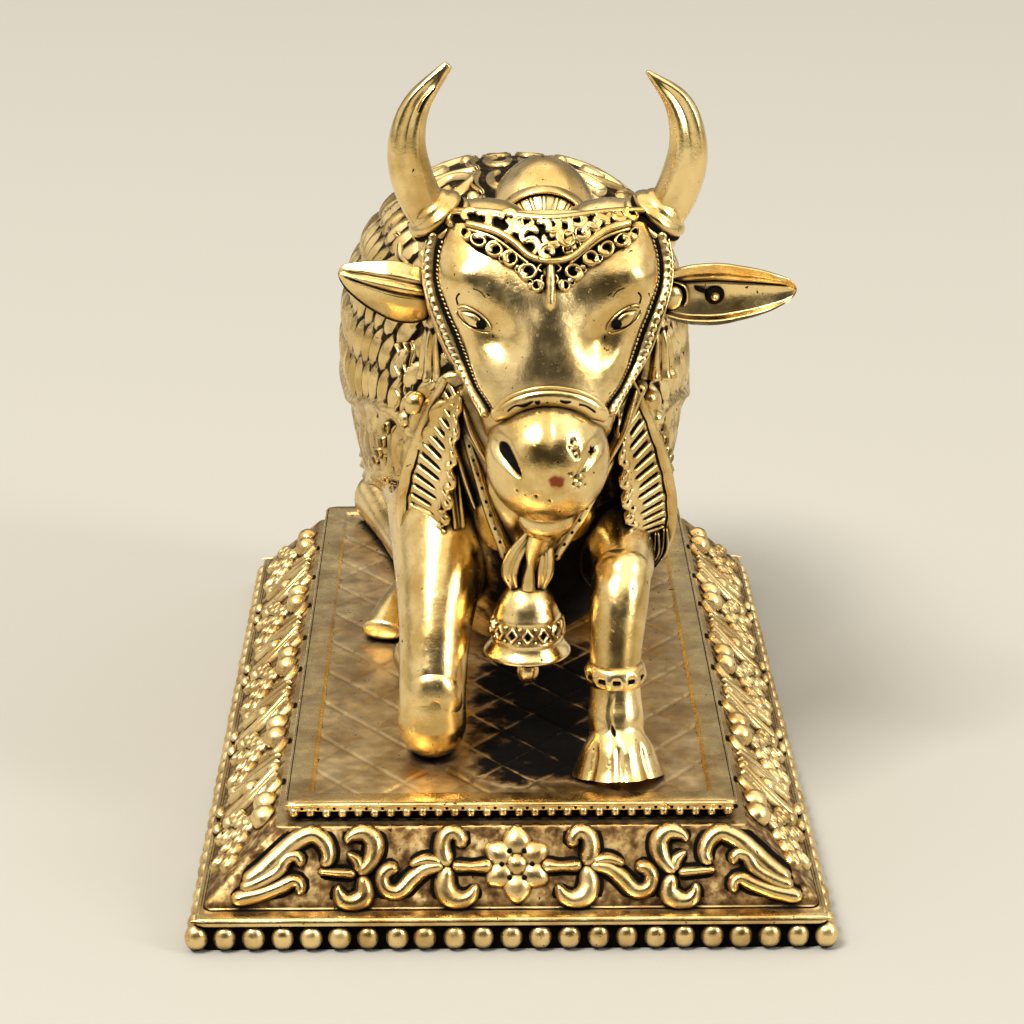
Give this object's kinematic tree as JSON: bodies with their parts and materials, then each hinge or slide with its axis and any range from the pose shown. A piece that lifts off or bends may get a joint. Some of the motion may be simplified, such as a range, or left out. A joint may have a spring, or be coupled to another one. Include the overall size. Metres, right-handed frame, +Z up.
{
  "type": "nandi bull figure",
  "caption": "Small brass figure of a lying bull with one foreleg raised, in harness, collar, bell and saddle cloth, on a tapered rectangular plinth with beaded foot and scroll relief.",
  "frame": {"origin": "middle of the plinth's underside", "axes": "+Z up, the bull faces -Y, +X is the bull's left"},
  "size_m": [0.042, 0.0674, 0.0535],
  "materials": {
    "plinth_brass": "antiqued brass, dark in the recesses of the relief and polished on its crests",
    "bull_brass": "polished brass, dark in the cut lines of the harness and saddle cloth"
  },
  "bodies": {
    "root": {"plinth": "plinth_brass", "bull": "bull_brass"}
  },
  "joints": []
}
